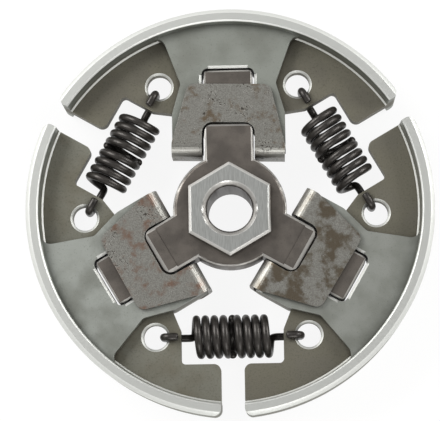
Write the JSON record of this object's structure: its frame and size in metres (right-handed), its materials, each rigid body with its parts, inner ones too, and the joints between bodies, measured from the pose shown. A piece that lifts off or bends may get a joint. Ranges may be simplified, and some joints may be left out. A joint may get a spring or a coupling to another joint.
{
  "type": "brush cutter clutch",
  "caption": "Centrifugal clutch of a brush cutter: shoes slide outwards on the arms of a threaded hexagonal carrier, held in by tension springs.",
  "frame": {"origin": "on the axis of the threaded bore, at the level of the seat on the clutch's back", "axes": "+Z along the bore towards the hexagon, +Y along the arm marked OFF"},
  "size_m": [0.08, 0.0801, 0.0138],
  "materials": {
    "carrier_steel": "cast steel, oiled and dulled by handling, its hexagon ground bright",
    "shoe_iron": "sintered iron, matt grey, with a bright turned rim and brownish pockets",
    "retainer_sheet": "pressed sheet steel, pitted, with brown patina and scratches",
    "spring_wire": "oil-tempered spring wire, near black and slightly glossy"
  },
  "bodies": {
    "hub": {"carrier": "carrier_steel"},
    "shoe_top": {"shoe_1": "shoe_iron", "retainer_1": "retainer_sheet", "spring_1": "spring_wire"},
    "shoe_left": {"shoe_2": "shoe_iron", "retainer_2": "retainer_sheet", "spring_2": "spring_wire"},
    "shoe_right": {"shoe_3": "shoe_iron", "retainer_3": "retainer_sheet", "spring_3": "spring_wire"}
  },
  "joints": [
    {"name": "shoe_top_slide", "type": "slide", "parent": "hub", "child": "shoe_top", "axis": [0, 1, 0], "range_m": [0, 0.0011], "stiffness_N_per_m": 25600, "deforming": ["spring_1", "spring_3"]},
    {"name": "shoe_left_slide", "type": "slide", "parent": "hub", "child": "shoe_left", "axis": [-0.866, -0.5, 0], "range_m": [0, 0.0011], "stiffness_N_per_m": 25600, "deforming": ["spring_1", "spring_2"]},
    {"name": "shoe_right_slide", "type": "slide", "parent": "hub", "child": "shoe_right", "axis": [0.866, -0.5, 0], "range_m": [0, 0.0011], "stiffness_N_per_m": 25600, "deforming": ["spring_2", "spring_3"]}
  ]
}
